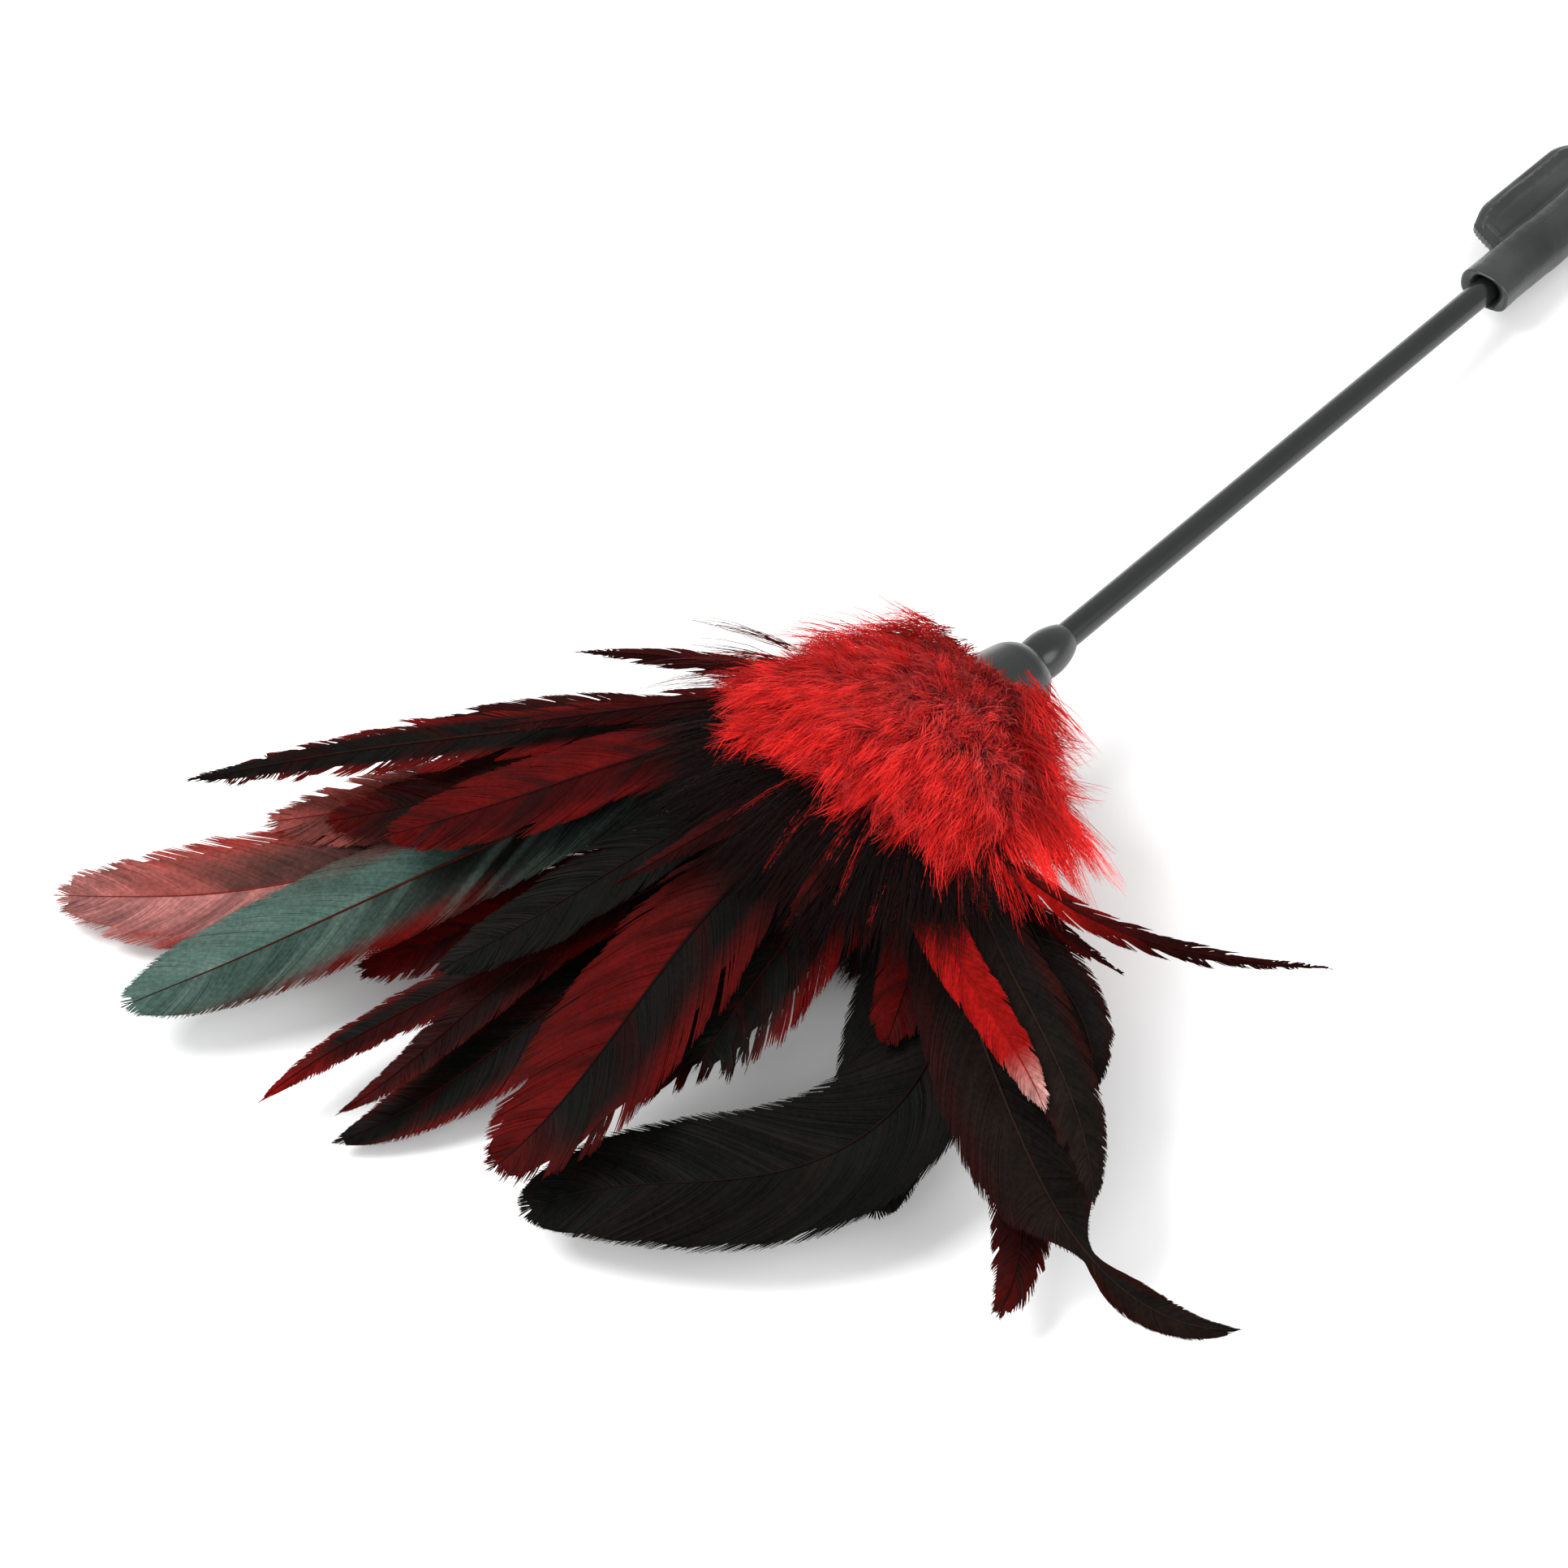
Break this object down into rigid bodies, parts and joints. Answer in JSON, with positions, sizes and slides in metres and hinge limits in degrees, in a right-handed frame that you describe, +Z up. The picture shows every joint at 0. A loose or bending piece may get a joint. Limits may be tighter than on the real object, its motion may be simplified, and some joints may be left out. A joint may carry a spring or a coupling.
{
  "type": "feather duster",
  "caption": "Feather duster with a thin black rod, a bell cap holding dyed rooster feathers under a red down ruff, and a folded leather flap at the other end.",
  "frame": {"origin": "middle of the whole duster's footprint, on the surface it lies on", "axes": "+X runs along the rod from the feathers to the flap, +Y towards the flap's free wing, +Z up"},
  "size_m": [0.4832, 0.3036, 0.0714],
  "materials": {
    "rod_black": "satin",
    "cap_black": "satin",
    "glue": "matte",
    "binding_thread": "matte",
    "down_red": "matte",
    "down_dark": "matte",
    "leather_black": "satin",
    "seam_thread": "matte",
    "feather_black": "satin",
    "feather_green": "satin",
    "feather_red": "satin",
    "feather_pink": "satin",
    "hackle_red": "satin"
  },
  "bodies": {
    "handle": {"rod": "rod_black", "end_cap": "cap_black", "glue_plug": "glue", "ruff_threads": "binding_thread", "centre_binding": "binding_thread", "upper_ruff": "down_red", "lower_ruff": "down_dark", "flap_sleeve": "leather_black", "centre_forked": "feather_black", "centre_dark_long": "feather_black", "centre_red_broad": "feather_red", "centre_dark_fringed": "feather_black", "centre_dark_side": "feather_black", "centre_red_under": "feather_red", "centre_hackle_left": "hackle_red", "centre_hackle_right": "hackle_red"},
    "left_tuft": {"left_binding": "binding_thread", "left_pink_long": "feather_pink", "left_green_black": "feather_green", "left_dark_outer": "feather_black", "left_red_inner": "feather_red", "left_red_under": "feather_red", "left_pink_middle": "feather_pink", "left_dark_short": "feather_black", "left_red_middle": "feather_red", "left_hackle_outer": "hackle_red", "left_hackle_inner": "hackle_red"},
    "right_tuft": {"right_binding": "binding_thread", "right_black_sickle": "feather_black", "right_black_short": "feather_black", "right_red_small": "feather_red", "right_dark_twisted": "feather_black", "right_red_streak": "feather_red", "right_dark_curved": "feather_black", "right_dark_narrow": "feather_black", "right_red_under": "feather_red", "right_hackle_long": "hackle_red", "right_hackle_short": "hackle_red"},
    "flap": {"flap_wing": "leather_black", "flap_stitches": "seam_thread"}
  },
  "joints": [
    {"name": "left_tuft_swing", "type": "hinge", "parent": "handle", "child": "left_tuft", "pos_m": [-0.06624, 0.00757, 0.03973], "axis": [0, 0, -1], "range_deg": [-3, 14], "stiffness_Nm_per_rad": 0.05},
    {"name": "right_tuft_swing", "type": "hinge", "parent": "handle", "child": "right_tuft", "pos_m": [-0.06624, -0.00843, 0.03973], "axis": [0, 0, 1], "range_deg": [-3, 14], "stiffness_Nm_per_rad": 0.05},
    {"name": "flap_wing_bend", "type": "hinge", "parent": "handle", "child": "flap", "pos_m": [0.20728, 0.00817, 0.00856], "axis": [0.9936, 0, -0.1132], "range_deg": [-20, 40], "stiffness_Nm_per_rad": 0.02}
  ]
}
